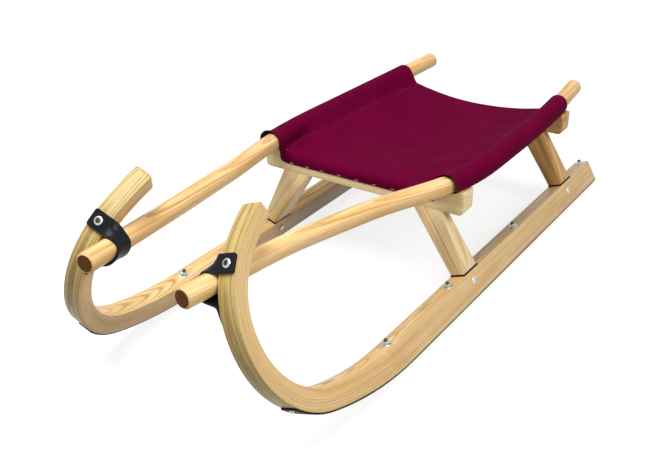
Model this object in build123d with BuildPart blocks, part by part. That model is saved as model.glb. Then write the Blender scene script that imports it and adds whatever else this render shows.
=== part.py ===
"""Touring luge: two canted ash runners with upturned horns, two bridges on splayed legs,
two bent side rails strapped to the horns, and a sling seat sewn round the rails.

Millimetres. +Z is up, the horns point to -Y and the rider's left is +X.
The origin is on the floor, under the middle of the overall length.
"""
import os
from math import asin, atan2, cos, degrees, radians, sin, tan

from build123d import *

# Overall
overall_length = 1210.0     # front ends of the side rails to the heels of the runners
track = 441.4               # between the middles of the two soles
cant = 20.0                 # lean of the runners, tops inward, degrees
front, heel = -overall_length / 2, overall_length / 2
half_track = track / 2

# Runner: a bent ash strip for the horn, full height behind it
runner_width = 29.5
runner_height = 48.5
horn_thickness = 26.0
heel_slant = 18.0           # the heel is cut back by this much at the top
curl_reach = 374.0          # from the front ends to where the sole leaves the straight
sweep_radius, sweep_turn = 696.0, 18.3
curl_radius = 184.5         # from the sweep round to upright
shin_rise = 5.0
hook_radius, hook_turn = 143.0, 51.2
nose_radius, nose_turn = 285.0, 15.0
over_radius, over_turn = 574.0, 16.5    # the top side's sweep, which thins the curl
tip_front_round, tip_rear_round = 7.0, 4.0
tip_inner_round, tip_outer_round = 9.0, 3.0

# Steel running rail under the sole
steel_width = 28.0
steel_thickness = 3.0
steel_curl_turn = 27.0      # how far it follows the curl
steel_heel_gap = 1.0

# Bridges and legs
bridge_reach = 624.0        # from the heels to the front face of the front bridge
bridge_spacing = 450.0      # front bridge to rear bridge
bridge_thickness = 36.0
bridge_end_inset = 14.7     # the bridges end this far inside half the track
bridge_bottom = 171.5
bridge_top = 205.0
bridge_corner = 9.0         # rounding of the ends' lower corners
bridge_front_round = 10.0   # rounding of the edge that the seat's hem turns over
saddle_top = 213.0
saddle_inset = 70.7         # the raised ends start this far inside half the track
saddle_slope = 8.0
rear_bridge_drop = 3.0
rear_dish = 20.0
leg_pad_thickness = 3.0
leg_pad_edge = 0.5          # the pad shows this much round the foot
leg_foot_depth, leg_top_depth = 52.0, 18.0      # along Y
leg_foot_width = 27.5
leg_inner_inset, leg_outer_inset = 113.7, 54.7      # of a leg's top, from half the track
seat_gap = 0.3              # between pieces that rest on each other

# Bolts that hold the steel, nuts on the runner's top face
first_bolt_gap = 1.0        # clear of the place where the top side starts to sweep up
bolt_steps = (-43.0, 230.0)             # the middle two, from the front bridge
last_bolt_inset = 38.0      # from the heel
bolt_offset = 3.5           # toward the outer side
nut_flats, nut_height = 10.0, 6.6

# Side rails: round ash. Corners of the centre line, from the rear end to the front end
rail_radius = 16.0
rail_end_chamfer = 2.5
rail_insets = (49.7, 33.3, 27.6, 80.7, 114.2, 134.2)    # inward of half the track
rail_heights = (222.6, 216.5, 224.5, 245.3, 259.8, 266.3)
rail_rear_inset = 28.0      # from the heel
rail_seat_steps = (414.0, 33.0)         # from the front bridge
rail_front_steps = (407.0, 207.0)       # from the front end
rail_bend_shares = (0.86, 0.505, 0.244, 0.237)          # of the shorter run, taken by each bend

# Seat
cloth = 2.0
sleeve_overhang = 22.0      # in front of the front bridge
sleeve_slack = 1.4          # between a rail and its sleeve
sleeve_stretch = 9.0        # the sleeve is pulled this much inward
mouth_flare = 4.0           # the sleeve stands off the rail's outer side at its front mouth
web_inset = 12.0            # where the web leaves the bridge's flat top for the sleeve
hem_drop = 20.0
middle_sag = 24.0           # of the web half way between the bridges

# Straps
strap_turn = 40.6           # where the tab is screwed, round the hook
strap_thickness = 3.0
strap_width = 28.0
strap_inset = 62.0          # middle of the turn round the rail, from the rail's front end
strap_tail_inset = 47.0     # middle of the tail
strap_tail_length = 34.0
strap_stand_off = 1.0       # the straight runs clear the rail by this much
strap_tab_reach = 2.0       # past the horn's inner side

# Screws
strap_washer_radius, strap_washer_thickness = 7.2, 2.4
screw_head_radius, screw_head_height = 4.5, 2.2
side_screw_height = 30.0    # above the sole, under each leg
side_nut_flats, side_nut_height = 10.0, 5.0

os.makedirs("parts", exist_ok=True)

bend_start = front + curl_reach
bridge_front_face = heel - bridge_reach
bridge_half_width = half_track - bridge_end_inset
saddle_shoulder = half_track - saddle_inset
leg_top_inner, leg_top_outer = half_track - leg_inner_inset, half_track - leg_outer_inset
lean = radians(cant)
out = Vector(cos(lean), 0, sin(lean))        # square to a runner's outer face
climb = Vector(-sin(lean), 0, cos(lean))     # up along a runner

# The inner edge of the steel touches the floor.
sole_lift = steel_thickness * cos(lean) + steel_width / 2 * sin(lean)
sole = Vector(half_track, 0, sole_lift)


def runner_plane(offset=0.0):
    """Plane along the left runner: x is +Y, y climbs the runner, z points outward."""
    return Plane(origin=sole + out * offset, x_dir=(0, 1, 0), z_dir=out)


def write(piece, name):
    piece.part.label = name
    export_step(piece.part, f"parts/{name}.step")


def write_pair(left, name):
    """Write a left-hand piece and its mirror image on the right."""
    write(left, f"{name}_left")
    with BuildPart() as right:
        mirror(left.part, about=Plane.YZ)
    write(right, f"{name}_right")


# Runner
with BuildPart() as runner:
    with BuildSketch(runner_plane()) as profile:
        with BuildLine():
            under = Line((heel, 0), (bend_start, 0))
            sweep_under = JernArc(under @ 1, under % 1, sweep_radius, -sweep_turn)
            curl = JernArc(sweep_under @ 1, sweep_under % 1, curl_radius, sweep_turn - 90)
            rise = Line(curl @ 1, curl @ 1 + (curl % 1) * shin_rise)
            hook = JernArc(rise @ 1, rise % 1, hook_radius, -hook_turn)
            nose = JernArc(hook @ 1, hook % 1, nose_radius, -nose_turn)

            tilt = radians(over_turn)
            shin_back = rise @ 1 + Vector(horn_thickness, 0)
            over_curl_radius = (shin_back.Y - runner_height - over_radius * (1 - cos(tilt))) / cos(tilt)
            over_start = shin_back.X + over_radius * sin(tilt) + over_curl_radius * (1 - sin(tilt))
            over = Line((heel - heel_slant, runner_height), (over_start, runner_height))
            over_sweep = JernArc(over @ 1, over % 1, over_radius, -over_turn)
            over_curl = JernArc(over_sweep @ 1, over_sweep % 1, over_curl_radius, over_turn - 90)
            hook_back = JernArc(over_curl @ 1, over_curl % 1, hook_radius - horn_thickness, -hook_turn)
            nose_back = JernArc(hook_back @ 1, hook_back % 1, nose_radius - horn_thickness, -nose_turn)
            Line(nose @ 1, nose_back @ 1)
            Line(over @ 0, under @ 0)
        make_face()
        for corner, rounding in ((nose @ 1, tip_front_round), (nose_back @ 1, tip_rear_round)):
            fillet(profile.vertices().sort_by_distance(corner)[0], rounding)
    screw_spot, along_tab = hook @ (strap_turn / hook_turn), hook % (strap_turn / hook_turn)
    extrude(amount=runner_width / 2, both=True)
    # The horn's end is rounded in front view too.
    tip_front, tip_rear = (runner_plane().from_local_coords(end @ 1) for end in (nose, nose_back))
    for side, rounding in ((-1, tip_inner_round), (1, tip_outer_round)):
        with BuildSketch(Plane(origin=tip_front, x_dir=out, z_dir=tip_rear - tip_front)):
            with Locations((side * runner_width / 2, 0)):
                Rectangle(2 * rounding, 2 * rounding)
            with Locations((side * (runner_width / 2 - rounding), rounding)):
                Circle(rounding, mode=Mode.SUBTRACT)
        extrude(amount=2 * horn_thickness, mode=Mode.SUBTRACT)
write_pair(runner, "runner")

# Steel running rail
with BuildPart() as steel:
    with BuildSketch(runner_plane()):
        with BuildLine():
            flat = Line((heel - steel_heel_gap, 0), (bend_start, 0))
            up_sweep = JernArc(flat @ 1, flat % 1, sweep_radius, -sweep_turn)
            up_curl = JernArc(up_sweep @ 1, up_sweep % 1, curl_radius, -steel_curl_turn)
            end = Line(up_curl @ 1, up_curl @ 1 + (up_curl % 1).rotate(Axis.Z, 90) * steel_thickness)
            low_flat = Line((heel - steel_heel_gap, -steel_thickness), (bend_start, -steel_thickness))
            low_sweep = JernArc(low_flat @ 1, low_flat % 1, sweep_radius + steel_thickness, -sweep_turn)
            JernArc(low_sweep @ 1, low_sweep % 1, curl_radius + steel_thickness, -steel_curl_turn)
            Line(flat @ 0, low_flat @ 0)
        make_face()
    extrude(amount=steel_width / 2, both=True)
write_pair(steel, "steel_rail")

# Bolts: the nut of each, on the runner's top face
top_face = Plane(origin=sole + climb * runner_height, x_dir=(0, 1, 0), z_dir=climb)
bolt_places = (over_start + nut_flats / 2 + first_bolt_gap,
               *(bridge_front_face + step for step in bolt_steps), heel - last_bolt_inset)
with BuildPart() as bolts:
    with BuildSketch(top_face):
        with Locations(*[(place, -bolt_offset) for place in bolt_places]):
            RegularPolygon(nut_flats / 2, 6, major_radius=False)
    extrude(amount=nut_height)
write_pair(bolts, "rail_bolts")

# Side rail: a circle swept along a line that bows outward and down between the bridges
rail_places = (heel - rail_rear_inset, *(bridge_front_face + step for step in rail_seat_steps),
               *(front + step for step in rail_front_steps), front)
rail_corners = [Vector(half_track - inset, place, height)
                for inset, place, height in zip(rail_insets, rail_places, rail_heights)]
rail_runs = [end - start for start, end in zip(rail_corners, rail_corners[1:])]
rail_bends = [share * min(run.length, turned.length) / tan(radians(run.get_angle(turned) / 2))
              for share, run, turned in zip(rail_bend_shares, rail_runs, rail_runs[1:])]
with BuildPart() as side_rail:
    with BuildLine() as rail_line:
        FilletPolyline(*rail_corners, radius=rail_bends)
    with BuildSketch(Plane(origin=rail_line.line @ 0, z_dir=rail_line.line % 0)):
        Circle(rail_radius)
    sweep()
    chamfer(side_rail.edges().filter_by(GeomType.CIRCLE).sort_by(Axis.Y)[0], rail_end_chamfer)
    chamfer(side_rail.edges().filter_by(GeomType.CIRCLE).sort_by(Axis.Y)[-1], rail_end_chamfer)
write_pair(side_rail, "side_rail")
rail_wire = Wire(rail_line.edges())


def rail_at(y):
    """Point of the left rail's centre line at this y."""
    return Vector(*rail_wire.intersect(Plane.XZ.offset(-y))[0])


sleeve_hollow = rail_radius + sleeve_slack
sleeve_outer = sleeve_hollow + cloth
sleeve_front = bridge_front_face - sleeve_overhang
sleeve_rear = bridge_front_face + bridge_spacing + bridge_thickness

# Legs with a rubber pad under each foot
foot = sole + climb * (runner_height + leg_pad_thickness)
foot_inner = foot - out * (leg_foot_width / 2)
foot_outer = foot + out * (leg_foot_width / 2)
for name, shift, drop in (("front", 0.0, 0.0), ("rear", bridge_spacing, rear_bridge_drop)):
    face = bridge_front_face + shift
    bottom, top, raised = bridge_bottom - drop, bridge_top - drop, saddle_top - drop
    with BuildPart() as leg:
        with BuildSketch(Plane.XZ.offset(-face)):
            with BuildLine():
                Polyline((foot_inner.X, foot_inner.Z), (foot_outer.X, foot_outer.Z),
                         (leg_top_outer, bottom), (leg_top_inner, bottom), close=True)
            make_face()
        extrude(amount=-leg_foot_depth)
        with BuildSketch(Plane.YZ):
            with BuildLine():
                Polyline((face, 0), (face + leg_foot_depth, 0), (face + leg_foot_depth, foot_inner.Z),
                         (face + leg_top_depth, bottom), (face, bottom), close=True)
            make_face()
        extrude(amount=track, mode=Mode.INTERSECT)
    write_pair(leg, f"leg_{name}")

    with BuildPart() as pad:
        with BuildSketch(top_face):
            with Locations((face + leg_foot_depth / 2, 0)):
                Rectangle(leg_foot_depth + 2 * leg_pad_edge, leg_foot_width + 2 * leg_pad_edge)
        extrude(amount=leg_pad_thickness)
    write_pair(pad, f"leg_pad_{name}")

    # Bridge: raised ends grooved for the sleeves, the rear one dished between them
    with BuildPart() as bridge:
        with BuildSketch(Plane.XZ.offset(-face)) as outline:
            with BuildLine():
                Polyline((-saddle_shoulder, top), (-saddle_shoulder - saddle_slope, raised),
                         (-bridge_half_width, raised), (-bridge_half_width, bottom),
                         (-leg_top_inner, bottom))
                Polyline((saddle_shoulder, top), (saddle_shoulder + saddle_slope, raised),
                         (bridge_half_width, raised), (bridge_half_width, bottom),
                         (leg_top_inner, bottom))
                if name == "rear":
                    ThreePointArc((-saddle_shoulder, top), (0, top - rear_dish), (saddle_shoulder, top))
                    ThreePointArc((-leg_top_inner, bottom), (0, bottom - rear_dish), (leg_top_inner, bottom))
                else:
                    Line((-saddle_shoulder, top), (saddle_shoulder, top))
                    Line((-leg_top_inner, bottom), (leg_top_inner, bottom))
            make_face()
            lowest = outline.vertices().group_by(Axis.Y)[0].sort_by(Axis.X)
            fillet([lowest[0], lowest[-1]], bridge_corner)
        extrude(amount=-bridge_thickness)
        if name == "front":
            with BuildSketch(Plane.YZ):
                with Locations((face, top)):
                    Rectangle(2 * bridge_front_round, 2 * bridge_front_round)
                with Locations((face + bridge_front_round, top - bridge_front_round)):
                    Circle(bridge_front_round, mode=Mode.SUBTRACT)
            extrude(amount=saddle_shoulder, both=True, mode=Mode.SUBTRACT)
        start, end = rail_at(face), rail_at(face + bridge_thickness)
        for sign in (1, -1):
            with BuildSketch(Plane(origin=(sign * start.X, start.Y, start.Z), x_dir=(sign, 0, 0),
                                   z_dir=(sign * (end - start).X, end.Y - start.Y, end.Z - start.Z))):
                with Locations((-sleeve_stretch / 2, 0)):
                    SlotCenterToCenter(sleeve_stretch, 2 * (sleeve_outer + seat_gap))
        extrude(amount=2 * bridge_thickness, both=True, mode=Mode.SUBTRACT)
    write(bridge, f"bridge_{name}")


def seat_half(y, rest):
    """Outside of the seat's left half: under the web, round the sleeve and back along the web."""
    rail = rail_at(y)
    low = JernArc((rail.X - sleeve_stretch - sleeve_outer, rail.Z), (0, -1), sleeve_outer, 90)
    below = Line(low @ 1, low @ 1 + Vector(sleeve_stretch, 0))
    outside = JernArc(below @ 1, (1, 0), sleeve_outer, 180)
    above = Line(outside @ 1, outside @ 1 - Vector(sleeve_stretch, 0))
    high = JernArc(above @ 1, (-1, 0), sleeve_outer, 90 - degrees(asin(cloth / sleeve_outer)))
    Line((rest_x, rest), low @ 0)
    Line(high @ 1, (rest_x, rest + cloth))


def sleeve_slot(y, radius, flare=0.0):
    """Slot round the left rail, longer towards the seat's middle where the cloth pulls."""
    rail = rail_at(y)
    with BuildSketch(Plane.XZ.offset(-y)) as slot:
        with Locations((rail.X + (flare - sleeve_stretch) / 2, rail.Z)):
            SlotCenterToCenter(sleeve_stretch + flare, 2 * radius)
    return slot.sketch


# Seat: a sleeve round each rail and a web that rests on both bridges, hemmed over the front one
hem_face = bridge_front_face - seat_gap - cloth
rest_x = saddle_shoulder - web_inset
front_rest = bridge_top + seat_gap
rear_dip = rear_dish * (rest_x / saddle_shoulder) ** 2
rear_rest = front_rest - rear_bridge_drop - (rear_dish - rear_dip)
span_start = bridge_front_face + bridge_thickness
span_end = bridge_front_face + bridge_spacing
web_sections = [(hem_face, front_rest, 0.0)]
for share in (0, 0.12, 0.28, 0.5, 0.75, 1):
    sag = (middle_sag - rear_dip / 2) * 4 * share * (1 - share)
    web_sections.append((span_start + (span_end - span_start) * share,
                         front_rest + (rear_rest - front_rest) * share, rear_dip * share + sag))
web_sections.append((sleeve_rear, rear_rest, rear_dip))
with BuildPart() as seat:
    for y, rest, dip in web_sections:
        with BuildSketch(Plane.XZ.offset(-y)):
            with BuildLine():
                seat_half(y, rest)
                mirror(about=Plane.YZ)
                for level in (rest, rest + cloth):
                    if dip:
                        ThreePointArc((rest_x, level), (0, level - dip), (-rest_x, level))
                    else:
                        Line((rest_x, level), (-rest_x, level))
            make_face()
    loft(ruled=True)
    with BuildSketch(Plane.XZ.offset(-hem_face)):
        with Locations((0, front_rest + cloth - hem_drop / 2)):
            Rectangle(2 * rest_x, hem_drop)
    extrude(amount=-cloth)
    mouth = loft([sleeve_slot(sleeve_front, sleeve_outer, mouth_flare), sleeve_slot(hem_face, sleeve_outer)],
                 ruled=True)
    mirror(mouth, about=Plane.YZ)
    hollow = loft([sleeve_slot(sleeve_front - cloth, sleeve_hollow, mouth_flare),
                   *(sleeve_slot(y, sleeve_hollow) for y, rest, dip in web_sections[:-1]),
                   sleeve_slot(sleeve_rear + cloth, sleeve_hollow)], ruled=True, mode=Mode.SUBTRACT)
    mirror(hollow, about=Plane.YZ, mode=Mode.SUBTRACT)
write(seat, "seat")


def folded_band(first, second):
    """Band between two rectangles, folded along a diagonal where it twists."""
    near, far = first.vertices().sort_by(Axis.Y), second.vertices().sort_by(Axis.Y)
    for corners in (near + far[2:], near[:2] + far):
        ConvexPolyhedron([tuple(corner) for corner in corners])


# Straps: a tab screwed on the horn's front face, a turn round the rail, a tail on the inner face
front_run = rail_runs[-1].normalized()
strap_middle = front + strap_inset
strap_centre = rail_corners[-1] + front_run * ((strap_middle - front) / front_run.Y)
centre_out = (strap_centre - sole).dot(out)
centre_up = (strap_centre - sole).dot(climb)
ring_x = (out - front_run * out.dot(front_run)).normalized()
inner_face = -runner_width / 2
ring_inner = rail_radius + seat_gap
ring_outer = ring_inner + strap_thickness
run_lift = ring_outer - strap_thickness / 2 + strap_stand_off
tab_angle = degrees(atan2(along_tab.Y, along_tab.X))
tab_normal = along_tab.rotate(Axis.Z, 90)
tab_spot = screw_spot + tab_normal * (seat_gap + strap_thickness / 2)
with BuildPart() as strap:
    with BuildSketch(Plane(origin=strap_centre - front_run * (strap_width / 2), x_dir=ring_x,
                           z_dir=front_run)):
        with BuildLine():
            ThreePointArc((0, ring_outer), (-ring_outer, 0), (0, -ring_outer))
            ThreePointArc((0, ring_inner), (-ring_inner, 0), (0, -ring_inner))
            Line((0, ring_inner), (0, ring_outer))
            Line((0, -ring_inner), (0, -ring_outer))
        make_face()
    extrude(amount=strap_width)
    with BuildSketch(runner_plane(inner_face - strap_tab_reach), mode=Mode.PRIVATE) as tab:
        with Locations(Location(tab_spot, (0, 0, tab_angle))):
            Rectangle(strap_width, strap_thickness)
    extrude(tab.sketch, amount=runner_width + strap_tab_reach)
    with BuildSketch(runner_plane(centre_out), mode=Mode.PRIVATE) as over_rail:
        with Locations((strap_middle, centre_up + run_lift)):
            Rectangle(strap_width, strap_thickness)
    folded_band(over_rail.sketch, tab.sketch)
    with BuildSketch(runner_plane(centre_out), mode=Mode.PRIVATE) as under_rail:
        with Locations((strap_middle, centre_up - run_lift)):
            Rectangle(strap_width, strap_thickness)
    tail_top = sole + out * (inner_face - seat_gap - strap_thickness / 2) + climb * (centre_up - ring_outer)
    with BuildSketch(Plane(origin=tail_top + Vector(0, front + strap_tail_inset, 0), x_dir=(0, 1, 0),
                           z_dir=-climb), mode=Mode.PRIVATE) as tail:
        Rectangle(strap_width, strap_thickness)
    extrude(tail.sketch, amount=strap_tail_length)
    folded_band(under_rail.sketch, tail.sketch)
write_pair(strap, "strap")


# Cup washer of the screw through each tab
with BuildPart() as strap_screw:
    tab_top = runner_plane().from_local_coords(screw_spot + tab_normal * (seat_gap + strap_thickness))
    tab_plane = Plane(origin=tab_top, x_dir=out, z_dir=runner_plane().from_local_coords(tab_normal) - sole)
    with BuildSketch(tab_plane):
        Circle(strap_washer_radius)
    extrude(amount=strap_washer_thickness)
write_pair(strap_screw, "strap_screw")

# Under each leg, a screw head on the runner's outer side and its nut on the inner side
side_spots = [(bridge_front_face + leg_foot_depth / 2 + shift, side_screw_height)
              for shift in (0, bridge_spacing)]
with BuildPart() as side_screws:
    with BuildSketch(runner_plane(runner_width / 2)):
        with Locations(*side_spots):
            Circle(screw_head_radius)
    extrude(amount=screw_head_height)
    with BuildSketch(runner_plane(inner_face)):
        with Locations(*side_spots):
            RegularPolygon(side_nut_flats / 2, 6, major_radius=False)
    extrude(amount=-side_nut_height)
write_pair(side_screws, "side_screws")
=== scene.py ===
"""Looks of a touring luge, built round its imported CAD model. Metres; the horns point to -Y."""
from math import atan2, cos, degrees, pi, radians, sin

import bmesh
import bpy
from mathutils import Matrix, Vector, noise


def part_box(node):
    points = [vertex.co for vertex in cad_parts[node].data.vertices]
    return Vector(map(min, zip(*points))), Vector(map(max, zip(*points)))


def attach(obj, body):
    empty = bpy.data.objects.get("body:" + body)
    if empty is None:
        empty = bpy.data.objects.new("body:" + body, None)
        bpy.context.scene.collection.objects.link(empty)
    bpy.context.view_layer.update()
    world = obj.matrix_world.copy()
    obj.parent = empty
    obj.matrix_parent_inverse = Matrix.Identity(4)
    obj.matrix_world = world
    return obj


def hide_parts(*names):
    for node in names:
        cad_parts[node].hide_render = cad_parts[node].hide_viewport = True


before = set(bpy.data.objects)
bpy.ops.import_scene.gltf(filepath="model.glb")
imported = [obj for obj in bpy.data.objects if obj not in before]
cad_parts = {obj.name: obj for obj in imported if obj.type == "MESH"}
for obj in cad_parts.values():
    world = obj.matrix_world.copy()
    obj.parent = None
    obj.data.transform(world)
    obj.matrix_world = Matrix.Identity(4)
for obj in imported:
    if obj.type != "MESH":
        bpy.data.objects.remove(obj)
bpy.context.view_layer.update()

# Runners: two ash strips, steam-bent to the sole, curl and hooked horn, and planed thinner
# round the curl. The year rings follow the bend, so they show as long lines on the sides
# and as arches on the horn. Sanded, arrises eased by hand, clear satin varnish.
MM = 0.001
# The rider's left is at +X, and the right is its mirror image.
hands = ((1, "left"), (-1, "right"))
# Each runner leans inward about its sole's middle line.
cant, runner_round = radians(20), 2.0 * MM
sole_middle = Vector((220.7, 0, 7.607)) * MM
bend_start = -231 * MM
# Radius and turn of each bend, from the sole up to the horn. A short straight stretch
# follows the second.
runner_arcs = ((696 * MM, 18.3), (184.5 * MM, 71.7), (143 * MM, 51.2), (285 * MM, 15.0))
straight_after, straight_length = 1, 5 * MM
# The mesh is cut across here, and at every fifth degree of the bends, so that the map of
# the grain turns with them.
sole_cuts = [(600 - 60 * i) * MM for i in range(14)]
bend_cut = 5


def linear(code):
    """Linear colour of an sRGB hex code."""
    parts = [int(code[i:i + 2], 16) / 255 for i in (1, 3, 5)]
    return (*[p / 12.92 if p <= 0.04045 else ((p + 0.055) / 1.055) ** 2.4 for p in parts], 1.0)


def bare_material(name):
    """A new material and its emptied node tree."""
    made = bpy.data.materials.new(name)
    made.use_nodes = True
    made.node_tree.nodes.clear()
    return made, made.node_tree


def add_node(tree, kind, inputs=None, **settings):
    """Add a node with its settings; an input is a number, a colour or another's output."""
    made = tree.nodes.new("ShaderNode" + kind)
    for name, value in settings.items():
        setattr(made, name, value)
    for socket, value in (inputs or {}).items():
        if isinstance(value, bpy.types.NodeSocket):
            tree.links.new(value, made.inputs[socket])
        else:
            made.inputs[socket].default_value = value
    return made


def varnished_ash(name, pale, line, warm, offset, ring=2.3 * MM, pith=0.018, slope=1 / 160,
                  contrast=1.0, painted_sole_shade=False):
    """Ash under clear varnish, which gives a soft sheen over pale wood with darker rings. The
    map "grain" is in metres: x along the piece, y across its rings, z across the board. Early
    wood is a band of open pores that starts sharply. Ring is the rings' spacing, pith their
    distance from the tree's middle, and slope the tree's taper."""
    made, tree = bare_material(name)
    grain = add_node(tree, "Attribute", attribute_name="grain").outputs["Vector"]
    place = add_node(tree, "Mapping", {"Vector": grain, "Location": offset}).outputs[0]
    slow = add_node(tree, "Mapping", {"Vector": place, "Scale": (4, 22, 22)}).outputs[0]
    wander = add_node(tree, "TexNoise", {"Vector": slow, "Scale": 1.0, "Detail": 2.0}).outputs[0]
    axes = add_node(tree, "SeparateXYZ", {"Vector": place})
    # Distance from the pith: across the rings, plus their curve over the board's width,
    # plus the tree's taper along it, plus up to 5 mm of wander.
    square = add_node(tree, "Math", {0: axes.outputs[2], 1: axes.outputs[2]},
                      operation="MULTIPLY").outputs[0]
    curve = add_node(tree, "Math", {0: square, 1: 1 / (2 * pith), 2: axes.outputs[1]},
                     operation="MULTIPLY_ADD").outputs[0]
    taper = add_node(tree, "Math", {0: axes.outputs[0], 1: slope, 2: curve},
                     operation="MULTIPLY_ADD").outputs[0]
    radius = add_node(tree, "Math", {0: wander, 1: 5 * MM, 2: taper},
                      operation="MULTIPLY_ADD").outputs[0]
    rings = add_node(tree, "Math", {0: radius, 1: 1 / ring}, operation="MULTIPLY").outputs[0]
    year = add_node(tree, "Math", {0: rings}, operation="FRACT").outputs[0]
    number = add_node(tree, "Math", {0: rings}, operation="FLOOR").outputs[0]
    season = add_node(tree, "TexWhiteNoise", {"W": number},
                      noise_dimensions="1D").outputs["Value"]
    rise = add_node(tree, "MapRange", {"Value": year, 1: 0.0, 2: 0.10},
                    interpolation_type="SMOOTHSTEP").outputs[0]
    fall = add_node(tree, "MapRange", {"Value": year, 1: 0.18, 2: 0.62, 3: 1.0, 4: 0.0},
                    interpolation_type="SMOOTHSTEP").outputs[0]
    early = add_node(tree, "Math", {0: rise, 1: fall}, operation="MULTIPLY").outputs[0]
    vigour = add_node(tree, "Math", {0: season, 1: season}, operation="MULTIPLY").outputs[0]
    depth = add_node(tree, "Math", {0: vigour, 1: 0.75, 2: 0.3},
                     operation="MULTIPLY_ADD").outputs[0]
    band = add_node(tree, "Math", {0: early, 1: depth}, operation="MULTIPLY").outputs[0]
    # Pores: 0.3 mm vessels drawn about 0.8 mm wide and 15 mm long, so that they show.
    fine = add_node(tree, "Mapping", {"Vector": place, "Scale": (70, 1300, 1300)}).outputs[0]
    pores = add_node(tree, "TexNoise", {"Vector": fine, "Scale": 1.0, "Detail": 1.0}).outputs[0]
    streak = add_node(tree, "MapRange", {"Value": pores, 1: 0.42, 2: 0.68}).outputs[0]
    open_pores = add_node(tree, "Math", {0: streak, 1: band}, operation="MULTIPLY").outputs[0]
    # Broad changes of tone, about 11 mm wide and 200 mm long.
    broad = add_node(tree, "Mapping", {"Vector": place, "Scale": (5, 90, 90)}).outputs[0]
    tone = add_node(tree, "TexNoise", {"Vector": broad, "Scale": 1.0, "Detail": 2.0}).outputs[0]
    toned = add_node(tree, "MapRange", {"Value": tone, 1: 0.35, 2: 0.7}).outputs[0]
    body = add_node(tree, "Mix", {0: toned, 6: linear(pale), 7: linear(warm)},
                    data_type="RGBA").outputs[2]
    shade = add_node(tree, "Math", {0: band, 1: 0.62 * contrast}, operation="MULTIPLY").outputs[0]
    banded = add_node(tree, "Mix", {0: shade, 6: body, 7: linear(line)},
                      data_type="RGBA").outputs[2]
    dark = add_node(tree, "Math", {0: open_pores, 1: 0.55 * contrast},
                    operation="MULTIPLY").outputs[0]
    colour = add_node(tree, "Mix", {0: dark, 6: banded, 7: linear("#7A5226")},
                      data_type="RGBA").outputs[2]
    if painted_sole_shade:
        # Painted shade: the sole-side face, where y is near zero, is multiplied darker and
        # greener, for the olive shade on the horns' forward faces.
        face = add_node(tree, "SeparateXYZ", {"Vector": grain}).outputs[1]
        sole_shade_mask = add_node(tree, "MapRange", {"Value": face, 1: 0.5 * MM, 2: 2.5 * MM, 3: 1.0,
                                            4: 0.0}).outputs[0]
        colour = add_node(tree, "Mix", {0: sole_shade_mask, 6: colour, 7: linear("#DDE8D6")},
                          data_type="RGBA", blend_type="MULTIPLY").outputs[2]
    rough = add_node(tree, "MapRange", {"Value": open_pores, 3: 0.42, 4: 0.62}).outputs[0]
    height = add_node(tree, "Math", {0: 1.0, 1: open_pores}, operation="SUBTRACT").outputs[0]
    relief = add_node(tree, "Bump", {"Strength": 0.12, "Distance": 0.2 * MM,
                                     "Height": height}).outputs[0]
    shader = add_node(tree, "BsdfPrincipled", {
        "Base Color": colour, "Roughness": rough, "IOR": 1.5, "Normal": relief,
        "Specular IOR Level": 0.24, "Coat Weight": 0.12, "Coat Roughness": 0.25}).outputs[0]
    add_node(tree, "OutputMaterial", {0: shader})
    return made


def merged_copy(cad_node, flat=0.6):
    """A CAD node's mesh with its loose triangles merged into faces, flat to some degrees."""
    mesh = bmesh.new()
    mesh.from_mesh(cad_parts[cad_node].data)
    bmesh.ops.remove_doubles(mesh, verts=mesh.verts, dist=1e-5)
    bmesh.ops.dissolve_limit(mesh, angle_limit=radians(flat), verts=mesh.verts, edges=mesh.edges)
    return mesh


def eased_copy(cad_node, arris):
    """The same with its arrises rounded."""
    mesh = merged_copy(cad_node)
    sharp = [e for e in mesh.edges if e.calc_face_angle(0) > radians(32)]
    bmesh.ops.bevel(mesh, geom=sharp, offset=arris, offset_type="OFFSET", affect="EDGES",
                    segments=3, profile=0.5, clamp_overlap=True, material=-1)
    return mesh


def finish_piece(mesh, name, materials, smooth_to=38):
    """Make the object, shaded smooth up to an angle, riding on the luge."""
    data = bpy.data.meshes.new(name)
    for face in mesh.faces:
        face.smooth = True
    for edge in mesh.edges:
        edge.smooth = edge.calc_face_angle(pi) < radians(smooth_to)
    mesh.to_mesh(data)
    mesh.free()
    for material in materials:
        data.materials.append(material)
    made = bpy.data.objects.new(name, data)
    bpy.context.scene.collection.objects.link(made)
    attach(made, "root")
    return made


def lay_grain(made, grain_at):
    """Store the map "grain", from a function of each point of the piece."""
    grain = made.data.attributes.new("grain", "FLOAT_VECTOR", "POINT")
    for i, vertex in enumerate(made.data.vertices):
        grain.data[i].vector = grain_at(vertex.co)


def runner_axes(side):
    """Outward and upward directions of a canted runner."""
    return Vector((side * cos(cant), 0, sin(cant))), Vector((-side * sin(cant), 0, cos(cant)))


def runner_bends():
    """The bends of a runner, in its own plane: centre, radius, start and turn, and the length
    along the sole where each starts."""
    start, heading, run, parts = Vector((bend_start, 0)), radians(180), -bend_start, []
    for i, (radius, turn) in enumerate(runner_arcs):
        centre = start + radius * Vector((sin(heading), -cos(heading)))
        parts.append((centre, radius, heading, radians(turn), run))
        heading -= radians(turn)
        start = centre - radius * Vector((sin(heading), -cos(heading)))
        run += radius * radians(turn)
        if i == straight_after:
            start += Vector((0, straight_length))
            run += straight_length
    return parts


bends = runner_bends()


def runner_grain(side):
    """Grain map of a runner: along the bend, up from the sole, and out to the side."""
    out, climb = runner_axes(side)

    def at(point):
        offset = point - Vector((side * sole_middle.x, 0, sole_middle.z))
        flat = Vector((point.y, offset.dot(climb)))
        across = offset.dot(out)
        if flat.x > bend_start:
            return Vector((-flat.x, flat.y, across))
        for centre, radius, heading, turn, run in bends:
            arm = flat - centre
            swung = (heading - atan2(-arm.x, arm.y) + pi) % (2 * pi) - pi
            if swung <= turn:
                break
        return Vector((run + radius * max(swung, 0), radius - arm.length, across))
    return at


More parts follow.
